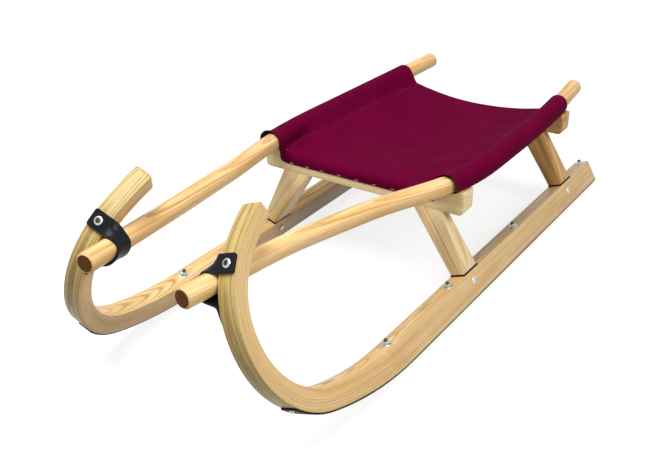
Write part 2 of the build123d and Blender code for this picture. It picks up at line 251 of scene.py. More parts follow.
for side, hand in hands:
    mesh = eased_copy(f"runner_{hand}", runner_round)
    out, climb = runner_axes(side)
    foot = Vector((side * sole_middle.x, 0, sole_middle.z))
    cuts = [(Vector((0, y, 0)), Vector((0, 1, 0))) for y in sole_cuts]
    for centre, radius, heading, turn, run in bends:
        for i in range(int(degrees(turn) // bend_cut) + 1):
            angle = heading - radians(bend_cut * i)
            cuts.append((foot + Vector((0, centre.x, 0)) + climb * centre.y,
                         Vector((0, cos(angle), 0)) + climb * sin(angle)))
    for point, normal in cuts:
        bmesh.ops.bisect_plane(mesh, geom=mesh.verts[:] + mesh.edges[:] + mesh.faces[:],
                               dist=1e-6, plane_co=point, plane_no=normal)
    wood = varnished_ash(f"Varnished steam-bent ash, {hand} runner", "#EED09A", "#A8752F",
                         "#DDB476", (0.4 if side > 0 else 1.9, 0.012, 0.002 * side),
                         pith=0.024, contrast=1.35, painted_sole_shade=True)
    runner = finish_piece(mesh, f"runner_wood_{hand}", [wood])
    lay_grain(runner, runner_grain(side))
    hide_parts(f"runner_{hand}")

# Steel running rails: flat bar screwed under each sole and up round the first part of the
# curl. Ground on the running face, dark with oil and storage rust at the edges.
steel, tree = bare_material("Ground flat steel bar")
# Grinding leaves fine scratches along the bar, which spread its dull shine. They are drawn
# about 1 mm wide and 40 mm long, so that they show.
spot = add_node(tree, "TexCoord").outputs["Object"]
drawn = add_node(tree, "Mapping", {"Vector": spot, "Scale": (900, 25, 900)}).outputs[0]
scratches = add_node(tree, "TexNoise", {"Vector": drawn, "Scale": 1.0, "Detail": 3.0}).outputs[0]
stain = add_node(tree, "TexNoise", {"Vector": spot, "Scale": 26.0, "Detail": 4.0}).outputs[0]
worn = add_node(tree, "MapRange", {"Value": stain, 1: 0.4, 2: 0.7}).outputs[0]
colour = add_node(tree, "Mix", {0: worn, 6: linear("#0F0C09"), 7: linear("#211B15")},
                  data_type="RGBA").outputs[2]
rough = add_node(tree, "MapRange", {"Value": scratches, 3: 0.4, 4: 0.65}).outputs[0]
relief = add_node(tree, "Bump", {"Strength": 0.2, "Distance": 0.05 * MM,
                                 "Height": scratches}).outputs[0]
shader = add_node(tree, "BsdfPrincipled", {
    "Base Color": colour, "Metallic": 0.2, "Roughness": rough, "Normal": relief,
    "Specular IOR Level": 0.15}).outputs[0]
add_node(tree, "OutputMaterial", {0: shader})
bar_round = 0.6 * MM
for side, hand in hands:
    mesh = eased_copy(f"steel_rail_{hand}", bar_round)
    bar = finish_piece(mesh, f"steel_bar_{hand}", [steel])
    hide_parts(f"steel_rail_{hand}")

# Bolts and screws: each rail is held by bolts whose nuts and stud ends stand on washers on
# the runner's top face. Cup washers hold the straps, and flanged heads the legs' feet.
# Bright zinc plate over mild steel.
zinc, tree = bare_material("Bright zinc-plated steel")
# The plating is cool, with small sharp highlights. Its cloudy spangle is drawn 2.4 mm wide.
spot = add_node(tree, "TexCoord").outputs["Object"]
cloud = add_node(tree, "TexNoise", {"Vector": spot, "Scale": 420.0, "Detail": 3.0}).outputs[0]
colour = add_node(tree, "Mix", {0: cloud, 6: linear("#A9B3B4"), 7: linear("#E4E9E6")},
                  data_type="RGBA").outputs[2]
rough = add_node(tree, "MapRange", {"Value": cloud, 3: 0.16, 4: 0.36}).outputs[0]
relief = add_node(tree, "Bump", {"Strength": 0.1, "Distance": 0.05 * MM,
                                 "Height": cloud}).outputs[0]
shader = add_node(tree, "BsdfPrincipled", {"Base Color": colour, "Metallic": 1.0,
                                           "Roughness": rough, "Normal": relief}).outputs[0]
add_node(tree, "OutputMaterial", {0: shader})
oil_and_socket_shade, tree = bare_material("Oiled dark steel and painted socket shade")
# Stud ends keep the oil of the tap and die, so they look dark olive, and the strap
# screws' heads are the same. The sockets' insides take this colour as painted shade.
spot = add_node(tree, "TexCoord").outputs["Object"]
cloud = add_node(tree, "TexNoise", {"Vector": spot, "Scale": 700.0, "Detail": 3.0}).outputs[0]
colour = add_node(tree, "Mix", {0: cloud, 6: linear("#2A2D22"), 7: linear("#5A6048")},
                  data_type="RGBA").outputs[2]
shader = add_node(tree, "BsdfPrincipled", {"Base Color": colour, "Metallic": 0.8,
                                           "Roughness": 0.45}).outputs[0]
add_node(tree, "OutputMaterial", {0: shader})


def standing(point, axis):
    """The place of something that stands on a point along an axis."""
    place = axis.to_track_quat("Z", "Y").to_matrix().to_4x4()
    place.translation = point
    return place


def made_since(before, mesh):
    """Faces that a mesh has gained, and their vertices, each once and in order."""
    faces = [face for face in mesh.faces if face not in before]
    return faces, list(dict.fromkeys(v for face in faces for v in face.verts))


def turned(mesh, place, profile, slot=0, steps=36, hexagon=0):
    """Turn a profile of radii and heights in millimetres about the Z axis of a place. One that
    leaves the axis open is a ring. Points within the radius "hexagon" follow a hexagon."""
    points = [mesh.verts.new(Vector((radius, 0, height)) * MM) for radius, height in profile]
    ring = points + points[:1] if profile[0][0] else points
    lines = [mesh.edges.new(pair) for pair in zip(ring, ring[1:])]
    before = set(mesh.faces)
    bmesh.ops.spin(mesh, geom=points + lines, cent=(0, 0, 0), axis=(0, 0, 1), angle=2 * pi,
                   steps=steps, use_merge=True)
    for v in made_since(before, mesh)[1]:
        flat = v.co.xy
        if 1e-6 < flat.length < (hexagon + 0.05) * MM:
            turn = atan2(flat.y, flat.x) % radians(60) - radians(30)
            v.co.xy = flat * cos(radians(30)) / cos(turn)
    bmesh.ops.remove_doubles(mesh, verts=made_since(before, mesh)[1], dist=1e-6)
    faces, verts = made_since(before, mesh)
    for face in faces:
        face.material_index = slot
    bmesh.ops.transform(mesh, matrix=place, verts=verts)


# Profiles: radius and height over the face that each piece stands on.
washer_profile = ((3.2, 0.0), (3.2, 1.6), (8.3, 1.6), (8.8, 1.2), (8.8, 0.05), (8.3, 0.0))
stud_profile = ((0.0, 0.5), (3.0, 0.5), (3.0, 10.0), (2.4, 10.6), (0.0, 10.6))
nut_profile = ((3.1, 1.6), (5.0, 1.6), (5.77, 1.9), (5.77, 6.1), (5.0, 6.6), (3.1, 6.6))
side_nut_profile = ((0.0, 5.2), (2.6, 5.2), (2.6, 4.9), (4.9, 4.9), (5.77, 4.4), (5.77, 0.6),
                    (5.0, 0.0), (0.0, 0.0))
head_profile = ((1.55, 0.0), (7.2, 0.0), (7.2, 0.4), (6.7, 0.8), (4.7, 1.0), (4.3, 1.6),
                (3.3, 2.05), (2.3, 2.2), (1.55, 2.2))
socket_profile = ((0.0, 0.9), (1.5, 0.9), (1.55, 2.18), (2.3, 2.18), (2.3, 0.3), (0.0, 0.3))
cup_profile = ((4.0, 0.0), (7.2, 0.0), (7.2, 0.4), (6.5, 1.5), (5.2, 2.2), (4.3, 2.1), (4.0, 1.5))
strap_head_profile = ((4.0, 0.2), (4.0, 1.5), (3.6, 2.0), (2.4, 2.4), (1.9, 2.4), (1.9, 0.2))
strap_socket_profile = ((0.0, 0.9), (1.8, 0.9), (1.9, 2.38), (2.4, 2.38), (2.4, 0.3), (0.0, 0.3))
# Height of the solid's top face over the face that it stands on.
nut_top, cup_top, side_nut_top, head_top = 6.6 * MM, 2.4 * MM, 5.0 * MM, 2.2 * MM
# Radii in millimetres within which a nut and a socket are six-sided.
nut_hexagon, socket_hexagon = 7, 2
# A face looks along a direction if its normal has this share of it.
facing = 0.7
for side, hand in hands:
    out, climb = runner_axes(side)
    for kind in ("rail_bolts", "strap_screw", "side_screws"):
        solid = merged_copy(f"{kind}_{hand}", flat=1)
        mesh = bmesh.new()
        # The solid's top faces say where each piece stands: six corners for a nut, more for
        # a round head.
        for face in solid.faces:
            if len(face.verts) < 6:
                continue
            axis, six = face.normal, len(face.verts) == 6
            if kind == "rail_bolts" and axis.dot(climb) > facing:
                height = nut_top
            elif kind == "strap_screw" and axis.y < 0:
                height = cup_top
            elif kind == "side_screws" and six and axis.dot(out) < -facing:
                height = side_nut_top
            elif kind == "side_screws" and not six and axis.dot(out) > facing:
                height = head_top
            else:
                continue
            place = standing(face.calc_center_median() - height * axis, axis)
            if kind == "rail_bolts":
                turned(mesh, place, washer_profile)
                turned(mesh, place, nut_profile, hexagon=nut_hexagon)
                turned(mesh, place, stud_profile, slot=1, steps=20)
            elif kind == "strap_screw":
                turned(mesh, place, cup_profile, steps=48)
                turned(mesh, place, strap_head_profile, slot=1, steps=48)
                # Its socket's inside is painted shade.
                turned(mesh, place, strap_socket_profile, slot=1, steps=48,
                       hexagon=socket_hexagon)
            elif six:
                turned(mesh, place, side_nut_profile, hexagon=nut_hexagon)
            else:
                turned(mesh, place, head_profile)
                # Its socket's inside is painted shade.
                turned(mesh, place, socket_profile, slot=1, hexagon=socket_hexagon)
        solid.free()
        bmesh.ops.recalc_face_normals(mesh, faces=mesh.faces)
        metal = finish_piece(mesh, f"{kind}_metal_{hand}", [zinc, oil_and_socket_shade])
        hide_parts(f"{kind}_{hand}")

# Front screws: a countersunk screw with a hexagon socket pins the front end of each steel
# rail to the curl. Zinc-plated like the bolts, and flush with the steel.
pin_profile = ((0.0, -0.6), (4.4, -0.6), (4.4, 0.0), (4.1, 0.2), (1.7, 0.2), (1.6, -0.5),
               (0.0, -0.5))
# How far round the curl it stands, and how far the steel's face is from the sole.
pin_swing, steel_face = radians(24.4), 3.3 * MM
for side, hand in hands:
    out, climb = runner_axes(side)
    centre, radius, heading, turn, run = bends[1]
    angle = heading - pin_swing
    axis = Vector((0, -sin(angle), 0)) + climb * cos(angle)
    middle = Vector((side * sole_middle.x, centre.x, sole_middle.z)) + climb * centre.y
    mesh = bmesh.new()
    turned(mesh, standing(middle + axis * (radius + steel_face), axis), pin_profile,
           hexagon=socket_hexagon)
    bmesh.ops.recalc_face_normals(mesh, faces=mesh.faces)
    finish_piece(mesh, f"steel_screw_{hand}", [zinc])

# Legs: splayed ash boards from the runners up to the bridges, wider at the top. Each stands
# on a rubber pad that lets the luge flex; the grain runs up the leg.
rubber, tree = bare_material("Moulded black rubber")
# The mould leaves a dull, nearly black skin. Its fine texture is drawn about 1 mm coarse.
spot = add_node(tree, "TexCoord").outputs["Object"]
skin = add_node(tree, "TexNoise", {"Vector": spot, "Scale": 900.0, "Detail": 2.0}).outputs[0]
colour = add_node(tree, "Mix", {0: skin, 6: linear("#0B0B0B"), 7: linear("#171615")},
                  data_type="RGBA").outputs[2]
relief = add_node(tree, "Bump", {"Strength": 0.2, "Distance": 0.1 * MM,
                                 "Height": skin}).outputs[0]
shader = add_node(tree, "BsdfPrincipled", {"Base Color": colour, "Roughness": 0.7,
                                           "Normal": relief, "Specular IOR Level": 0.2}).outputs[0]
add_node(tree, "OutputMaterial", {0: shader})
leg_round, pad_round = 1.6 * MM, 0.5 * MM
# Sideways and upward shares of a leg's direction.
leg_splay, leg_climb = 0.53, 0.85


def board_grain(along, across, node):
    """Grain map of a straight board, from its middle: along it, across its rings, and over
    its width."""
    along = Vector(along).normalized()
    across = (Vector(across) - along * along.dot(Vector(across))).normalized()
    over = along.cross(across)
    middle = sum(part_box(node), Vector()) / 2
    return lambda point: Vector([(point - middle).dot(axis) for axis in (along, across, over)])


for side, hand in hands:
    # The front legs are coloured paler and the rear ones browner: painted light on the front
    # ones and painted shade on the rear ones, under the seat. The two pairs of boards are
    # sawn at different angles to the rings.
    for place, lean, shift, pale, warm in (("front", 0.25, 0.3, "#FFECBC", "#E6BE80"),
                                           ("rear", -0.5, 1.4, "#E8C07A", "#B47C36")):
        wood = varnished_ash(f"Varnished ash, {place} {hand} leg", pale, "#9C6A30", warm,
                             (shift + 0.2 * side, 0.034, 0.004), ring=3.1 * MM, pith=0.05,
                             slope=1 / 90, contrast=0.6)
        mesh = eased_copy(f"leg_{place}_{hand}", leg_round)
        leg = finish_piece(mesh, f"leg_wood_{place}_{hand}", [wood])
        lay_grain(leg, board_grain((-side * leg_splay, 0, leg_climb), (lean * side, 1, 0),
                                   f"leg_{place}_{hand}"))
        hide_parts(f"leg_{place}_{hand}")
        mesh = eased_copy(f"leg_pad_{place}_{hand}", pad_round)
        pad = finish_piece(mesh, f"leg_rubber_{place}_{hand}", [rubber])
        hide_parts(f"leg_pad_{place}_{hand}")

# Bridges: ash cross pieces on the legs, with a raised end under each side rail. Their arrises
# are rounded over and the grain runs across the luge.
bridge_round = 3.0 * MM
# Painted light and shade: the front bridge is coloured paler and the rear one browner, lit and
# shaded copies of the same ash.
for place, shift, pale, warm in (("front", 0.5, "#FFEFC0", "#F8DCA0"),
                                 ("rear", 2.1, "#DCB070", "#A66E36")):
    wood = varnished_ash(f"Varnished ash, {place} bridge", pale, "#B98C48", warm,
                         (shift, 0.03, 0.006), ring=2.8 * MM, pith=0.05, slope=1 / 60,
                         contrast=0.8)
    mesh = eased_copy(f"bridge_{place}", bridge_round)
    bridge = finish_piece(mesh, f"bridge_wood_{place}", [wood])
    lay_grain(bridge, board_grain((1, 0, 0), (0, 0.5, 1), f"bridge_{place}"))
    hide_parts(f"bridge_{place}")

# Side rails: round ash, turned from straight stock and steam-bent, so the grain follows the
# bends. The sawn ends show darker end grain inside a pale chamfer.
rail_inset, rail_step = 6 * MM, 12 * MM
rail_chamfer = 0.8 * MM
# A sawn end is a large flat face that looks along the luge.
end_facing, end_area = 0.93, 2e-4


def rail_slice(y):
    """Centre of the left side rail at this y, cut from its solid."""
    mesh = bmesh.new()
    mesh.from_mesh(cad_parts["side_rail_left"].data)
    cut = bmesh.ops.bisect_plane(mesh, geom=mesh.verts[:] + mesh.edges[:] + mesh.faces[:],
                                 dist=1e-7, plane_co=(0, y, 0), plane_no=(0, 1, 0))["geom_cut"]
    points = [v.co.copy() for v in cut if isinstance(v, bmesh.types.BMVert)]
    mesh.free()
    return Vector((max(p.x for p in points) + min(p.x for p in points), 2 * y,
                   max(p.z for p in points) + min(p.z for p in points))) / 2


rail_low, rail_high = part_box("side_rail_left")
rail_count = int((rail_high.y - rail_low.y - 2 * rail_inset) / rail_step)
rail_line = [rail_slice(rail_low.y + rail_inset + i * rail_step) for i in range(rail_count + 1)]


def rail_at(y):
    """Centre of the left side rail at this y, between the slices."""
    spot = min(max((y - rail_line[0].y) / rail_step, 0), rail_count - 1e-6)
    return rail_line[int(spot)].lerp(rail_line[int(spot) + 1], spot - int(spot))


def rail_grain(side):
    """Grain map of a side rail: along it, and up and sideways from its middle."""
    def at(point):
        middle = rail_at(point.y)
        return Vector((point.y, point.z - middle.z, point.x - side * middle.x))
    return at


end_grain, tree = bare_material("Sawn ash end grain")
# The saw opens the pores, so the varnish soaks in and the ends look brown and dull, with
# arched rings 2.6 mm apart. The pores are drawn about 0.7 mm wide, so that they show.
grain = add_node(tree, "Attribute", attribute_name="grain").outputs["Vector"]
parts = add_node(tree, "SeparateXYZ", {"Vector": grain})
bent = add_node(tree, "Math", {0: parts.outputs[2], 1: parts.outputs[2]},
                operation="MULTIPLY").outputs[0]
arch = add_node(tree, "Math", {0: bent, 1: 9.0, 2: parts.outputs[1]},
                operation="MULTIPLY_ADD").outputs[0]
rings = add_node(tree, "Math", {0: arch, 1: 1 / (2.6 * MM)}, operation="MULTIPLY").outputs[0]
year = add_node(tree, "Math", {0: rings}, operation="FRACT").outputs[0]
speckle = add_node(tree, "TexNoise", {"Vector": grain, "Scale": 1500.0, "Detail": 2.0}).outputs[0]
mixed = add_node(tree, "Math", {0: year, 1: speckle}, operation="MULTIPLY").outputs[0]
colour = add_node(tree, "Mix", {0: mixed, 6: linear("#452400"), 7: linear("#8E5A18")},
                  data_type="RGBA").outputs[2]
shader = add_node(tree, "BsdfPrincipled", {"Base Color": colour, "Roughness": 0.6,
                                           "Specular IOR Level": 0.15}).outputs[0]
add_node(tree, "OutputMaterial", {0: shader})
for side, hand in hands:
    mesh = eased_copy(f"side_rail_{hand}", rail_chamfer)
    for face in mesh.faces:
        sawn = abs(face.normal.y) > end_facing and face.calc_area() > end_area
        face.material_index = int(sawn)
    wood = varnished_ash(f"Varnished round ash, {hand} rail", "#F0D098", "#A66E2C", "#DDAA62",
                         (0.2 + 0.7 * side, 0.009, 0.004), ring=2.6 * MM, pith=0.03,
                         slope=1 / 80, contrast=0.9)
    rail = finish_piece(mesh, f"side_rail_wood_{hand}", [wood, end_grain])
    lay_grain(rail, rail_grain(side))
    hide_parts(f"side_rail_{hand}")

# Seat: one piece of heavy woven polyester canvas. Each side is taken round its rail and sewn
# to the underside of the web; the front is turned down over the front bridge and stapled.
seat_front, seat_rear = -41 * MM, 467 * MM
bridge_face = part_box("bridge_front")[0].y
cloth_thick, cloth_gap, layer_gap = 1.3 * MM, 1.1 * MM, 1.5 * MM
# The sleeve's mouth flares outward and up, and is cut back below the rail.
sleeve_radius, mouth_flare, flare_angle = 19.4 * MM, 7 * MM, radians(20)
mouth_cut = radians(-65), radians(-10)
# Distance of the seam inward from the rail's middle, and how much farther it is behind.
seam_inset, seam_more, seam_span = 18 * MM, 13 * MM, (15 * MM, 120 * MM)
# Height of the web at its middle, over the front bridge, in the hollow and over the rear
# bridge, and its rise to each side at web_reach from there.
web_reach = 150 * MM
front_height, front_rise, raised_end = 206.2 * MM, 8.6 * MM, (147 * MM, 159 * MM)
hollow_height, hollow_rise, hollow_start = 184 * MM, 26 * MM, (18 * MM, 190 * MM)
rear_height, rear_rise, rear_start = 185.6 * MM, 18.5 * MM, (250 * MM, 440 * MM)
# Rows of the hem: up from its edge on the bridge's face, then back and down round the arris.
hem_edge = 185.9 * MM
hem_rises = (0, 4.6, 9.2)
arris_steps = ((0.8, 6.8), (3.2, 3.2), (6.8, 0.8), (11.0, 0.0))
hem_count = len(hem_rises) + len(arris_steps)
# Where the bridge's end is raised and square, the hem lies closer and its corner lifts.
closer, closer_span = 0.62, (146 * MM, 157 * MM)
corner_lift, corner_span = 4.5, (160 * MM, 175 * MM)
# How far the hem's rows come back at the web, and how far behind the face they are tucked in.
hem_back, tuck_first, tuck_more = 9.9 * MM, 5 * MM, 4.9 * MM
# The hem's corners aren't cut alike: the left one ends short, and the right one spreads.
corner_reach = {1: -13 * MM, -1: 9 * MM}
row_count = 50
# Points along half a row: over the web, down and up the slopes, round the rail, and back.
web_points, slope_points, round_points, tail_points, tail_step = 24, 7, 32, 4, 4 * MM
half_count = web_points + slope_points + round_points + slope_points + tail_points - 1


def smooth_step(low, high, value):
    """0 below the low value and 1 above the high one, with a smooth rise between."""
    share = min(max((value - low) / (high - low), 0), 1)
    return share * share * (3 - 2 * share)


def seam_at(y):
    """X of the left sleeve's seam, which comes closer to the rail over the front bridge."""
    return rail_at(y).x - seam_inset - seam_more * smooth_step(*seam_span, y)


def web_height(x, y):
    """Height of the web's middle layer: over the front bridge and its raised ends, hollow
    between the bridges, and dished over the rear one."""
    far = abs(x) / web_reach
    flat = front_height + front_rise * smooth_step(*raised_end, abs(x))
    hollow = hollow_height + hollow_rise * far ** 2.4
    dished = rear_height + rear_rise * far ** 2
    middle, rear = smooth_step(*hollow_start, y), smooth_step(*rear_start, y)
    return (flat * (1 - middle) + hollow * middle) * (1 - rear) + dished * rear


def half_section(y, web_y, flare, height_at, tucked, corner):
    """Points of the cloth from the seat's middle out over the left rail and back below it,
    tucked in behind the bridge's face at the hem, whose corner may reach farther out."""
    rail, join = rail_at(y), seam_at(web_y)
    points = []
    for i in range(web_points + 1):
        x = join * (i / web_points) ** 0.85 + corner * smooth_step(0.6, 1, i / web_points)
        points.append(Vector((x, *height_at(x))))
    start = points[-1]
    seam = Vector((join, tucked or web_y, web_height(join, tucked or web_y)))
    arm = Vector((seam.x - rail.x, seam.z - rail.z))
    side = atan2(arm.y, arm.x)
    swing = atan2(max(arm.length ** 2 - sleeve_radius ** 2, 1e-9) ** 0.5, sleeve_radius)
    first, last = (side % (2 * pi)) - swing, (side % (2 * pi)) + swing - 2 * pi
    ring = []
    for i in range(round_points + 1):
        angle = first + (last - first) * i / round_points
        reach = sleeve_radius + flare * max(0, cos(angle - flare_angle))
        place = web_y + (y - web_y) * smooth_step(*mouth_cut, angle)
        ring.append(Vector((rail.x + reach * cos(angle), place, rail.z + reach * sin(angle))))
    for i in range(1, slope_points):
        points.append(start.lerp(ring[0], i / slope_points))
    points += ring
    tail = seam - Vector((0, 0, layer_gap))
    for i in range(1, slope_points):
        points.append(ring[-1].lerp(tail, i / slope_points))
    for i in range(tail_points):
        x = seam.x - tail_step * i
        points.append(Vector((x, seam.y, web_height(x, seam.y) - layer_gap)))
    return points


def hem_row(row):
    """Y and height across the web at a row of the hem, which wraps the bridge's front arris
    closely where its end is raised and square."""
    def at(x):
        if row < len(hem_rises):
            lift = corner_lift * (1 - row / len(hem_rises)) * smooth_step(*corner_span, abs(x))
            return bridge_face - cloth_gap, hem_edge + (hem_rises[row] + lift) * MM
        close = 1 - closer * smooth_step(*closer_span, abs(x))
        back, drop = arris_steps[row - len(hem_rises)]
        return bridge_face + back * close * MM - cloth_gap, web_height(x, 0) - drop * close * MM
    return at


def cloth_lift(x, y):
    """Height of the cloth's creases: some of 110 by 40 mm, and finer ones of 33 by 17 mm."""
    crease = noise.noise(Vector((x * 9, y * 26, 4.1 if x > 0 else -4.1)))
    return (0.8 * crease + 0.2 * noise.noise(Vector((x * 30, y * 60, 7.7)))) * MM


def flat_grid(mesh, columns, rows):
    """Vertices of a new flat grid, row by row."""
    made = bmesh.ops.create_grid(mesh, x_segments=columns, y_segments=rows, size=1)["verts"]
    return sorted(made, key=lambda v: (round(v.co.y, 5), v.co.x))


# A row is its y at the rail and at the web, the flare of its mouth, its course over the web,
# and the y where its lower end is tucked in.
rows = []
for row in range(hem_count):
    share = row / (hem_count - 1)
    web_y = bridge_face + hem_back * share ** 2 - cloth_gap
    rows.append((seat_front + (web_y - seat_front) * share ** 1.3, web_y,
                 (1 - share) ** 2 * mouth_flare, hem_row(row),
                 bridge_face + tuck_first + tuck_more * share))
hem_end = rows[-1][1]
for row in range(1, row_count + 1):
    y = hem_end + (seat_rear - hem_end) * row / row_count
    rows.append((y, y, 0, lambda x, y=y: (y, web_height(x, y)), 0))
mesh = bmesh.new()
weave = mesh.verts.layers.float_vector.new("weave")
grid = flat_grid(mesh, 2 * half_count, len(rows) - 1)
length = 0.0
for r, row in enumerate(rows):
    loose = max(0, 1 - r / hem_count)
    for c in range(-half_count, half_count + 1):
        side = 1 if c >= 0 else -1
        if c in (-half_count, 0):
            half = half_section(*row, corner_reach[side] * loose)
            run = [0.0]
            for first, second in zip(half, half[1:]):
                run.append(run[-1] + (second - first).length)
            if c:
                # The weave is measured back along the seat's middle.
                length += (half[0] - middle).length if r else 0.0
                middle = half[0]
        point = half[abs(c)]
        vertex = grid[r * (2 * half_count + 1) + c + half_count]
        creased = r >= hem_count and abs(c) < web_points + slope_points
        lift = cloth_lift(side * point.x, point.y) * creased
        vertex.co = (side * point.x, point.y, point.z + lift)
        vertex[weave] = (side * run[abs(c)], length, 0)
bmesh.ops.recalc_face_normals(mesh, faces=mesh.faces)
canvas, tree = bare_material("Woven burgundy polyester canvas")
# Heavy plain weave: matt and deep red, with slubs about 3 by 25 mm and patches faded by the
# sun. Its threads are 0.6 mm apart, drawn 2.4 mm apart so that the weave shows; a Wave
# Texture's bands are pi / 10 apart at a scale of 1.
thread_scale = pi / 10 / (2.3687 * MM)
thread = add_node(tree, "Attribute", attribute_name="weave").outputs["Vector"]
warp, weft = [add_node(tree, "TexWave", {"Vector": thread, "Scale": thread_scale,
                                         "Distortion": 0.3, "Detail": 1.0},
                       bands_direction=way).outputs["Fac"] for way in "XY"]
cross = add_node(tree, "Math", {0: warp, 1: weft}, operation="MULTIPLY").outputs[0]
slub = add_node(tree, "Mapping", {"Vector": thread, "Scale": (350, 40, 1)}).outputs[0]
slubs = add_node(tree, "TexNoise", {"Vector": slub, "Scale": 1.0, "Detail": 2.0}).outputs[0]
faded = add_node(tree, "TexNoise", {"Vector": thread, "Scale": 14.0, "Detail": 3.0}).outputs[0]
mixed = add_node(tree, "Math", {0: slubs, 1: 0.5, 2: faded}, operation="MULTIPLY_ADD").outputs[0]
level = add_node(tree, "MapRange", {"Value": mixed, 1: 0.45, 2: 1.1}).outputs[0]
body = add_node(tree, "Mix", {0: level, 6: linear("#5E002B"), 7: linear("#750139")},
                data_type="RGBA").outputs[2]
# Painted shade: the valleys between the threads are coloured darker.
thread_valley_shade = add_node(tree, "Math", {0: cross, 1: -0.35, 2: 0.35},
                  operation="MULTIPLY_ADD").outputs[0]
colour = add_node(tree, "Mix", {0: thread_valley_shade, 6: body, 7: linear("#3D0018")},
                  data_type="RGBA").outputs[2]
relief = add_node(tree, "Bump", {"Strength": 0.35, "Distance": 0.25 * MM,
                                 "Height": cross}).outputs[0]
shader = add_node(tree, "BsdfPrincipled", {"Base Color": colour, "Roughness": 0.8,
                                           "Normal": relief, "Specular IOR Level": 0.03}).outputs[0]
add_node(tree, "OutputMaterial", {0: shader})
dark_back_shade, tree = bare_material("Nearly black back as painted sleeve shade")
# Painted shade: the cloth's back is coloured nearly black, so the insides of the sleeves
# look shaded. The skin's grain is drawn about 1.2 mm coarse.
thread = add_node(tree, "Attribute", attribute_name="weave").outputs["Vector"]
skin = add_node(tree, "TexNoise", {"Vector": thread, "Scale": 800.0, "Detail": 2.0}).outputs[0]
colour = add_node(tree, "Mix", {0: skin, 6: linear("#0B0D0C"), 7: linear("#1A1C1A")},
                  data_type="RGBA").outputs[2]
relief = add_node(tree, "Bump", {"Strength": 0.2, "Distance": 0.1 * MM,
                                 "Height": skin}).outputs[0]
shader = add_node(tree, "BsdfPrincipled", {"Base Color": colour, "Roughness": 0.6,
                                           "Normal": relief, "Specular IOR Level": 0.25}).outputs[0]
add_node(tree, "OutputMaterial", {0: shader})
seat = finish_piece(mesh, "seat_canvas", [canvas, dark_back_shade], smooth_to=180)
wall = seat.modifiers.new("Cloth thickness", "SOLIDIFY")
# The back's faces take the second material, the painted shade.
wall.thickness, wall.offset, wall.material_offset = cloth_thick, 0, 1
finer = seat.modifiers.new("Soft folds", "SUBSURF")
finer.levels = finer.render_levels = 1
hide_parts("seat")

# Stitches: two rows of heavy thread close each sleeve on the web, five to 25 mm. Bonded
# polyester, dyed to match the canvas and sewn by machine.
thread_dye, tree = bare_material("Bonded polyester thread")
# The plies catch the light in turn, which sets the seams off from the cloth. They are drawn
# 3.6 mm apart, so that they show; diagonal bands are pi / 5 apart at a scale of 1.
spot = add_node(tree, "TexCoord").outputs["Object"]
plied = add_node(tree, "TexWave", {"Vector": spot, "Scale": pi / 5 / (3.5531 * MM)},
                 bands_direction="DIAGONAL").outputs["Fac"]
colour = add_node(tree, "Mix", {0: plied, 6: linear("#4C0024"), 7: linear("#86103F")},
                  data_type="RGBA").outputs[2]
relief = add_node(tree, "Bump", {"Strength": 0.3, "Distance": 0.1 * MM,
                                 "Height": plied}).outputs[0]
shader = add_node(tree, "BsdfPrincipled", {"Base Color": colour, "Roughness": 0.6,
                                           "Normal": relief, "Specular IOR Level": 0.2}).outputs[0]
add_node(tree, "OutputMaterial", {0: shader})
stitch_size = Vector((0.5, 2.1, 0.42)) * MM
stitch_rise = 0.12 * MM
first_stitch, stitch_pitch, stitch_count = 4 * MM, 5 * MM, 92
mesh = bmesh.new()
for side, hand in hands:
    for inset in (3.5 * MM, 9.5 * MM):
        for i in range(stitch_count):
            y = first_stitch + stitch_pitch * i
            x = seam_at(y) - inset
            top = web_height(x, y) + cloth_lift(side * x, y) + cloth_thick / 2
            knot = bmesh.ops.create_icosphere(mesh, subdivisions=1, radius=1)["verts"]
            bmesh.ops.scale(mesh, vec=stitch_size, verts=knot)
            bmesh.ops.translate(mesh, vec=(side * x, y, top + stitch_rise), verts=knot)
finish_piece(mesh, "sleeve_stitches", [thread_dye], smooth_to=180)

# Staples: nine of bright 0.7 mm wire, 6.5 mm wide, hold the hem on the bridge's front face.
# They were driven by hand, so they are unevenly spaced and tilted.
staple_size, staple_round = Vector((6.5, 0.7, 0.7)) * MM, 0.2 * MM
staple_stand, staple_rise = 1.95 * MM, 3.4 * MM
mesh = bmesh.new()
for x in (-147, -112, -80, -43, -6, 31, 69, 104, 139):
    wire = bmesh.ops.create_cube(mesh, size=1)["verts"]
    bmesh.ops.scale(mesh, vec=staple_size, verts=wire)
    edges = list(dict.fromkeys(edge for v in wire for edge in v.link_edges))
    bmesh.ops.bevel(mesh, geom=edges, offset=staple_round, offset_type="OFFSET", affect="EDGES",
                    segments=2, profile=0.5, clamp_overlap=True, material=-1)
    # Only the newest staple is still at the origin.
    wire = [v for v in mesh.verts if v.co.length < staple_size.x]
    tilt = radians(x % 7 - 3) * 1.4
    bmesh.ops.rotate(mesh, cent=(0, 0, 0), matrix=Matrix.Rotation(tilt, 3, "Y"), verts=wire)
    bmesh.ops.translate(mesh, vec=(x * MM, bridge_face - staple_stand, hem_edge + staple_rise),
                        verts=wire)
finish_piece(mesh, "hem_staples", [zinc])

# Straps: black leather, cut in one piece. The tab is screwed to the horn's front face, the
# band twists over and goes round the side rail, and the tail lies on the horn's inner face.
leather, tree = bare_material("Black bridle leather")
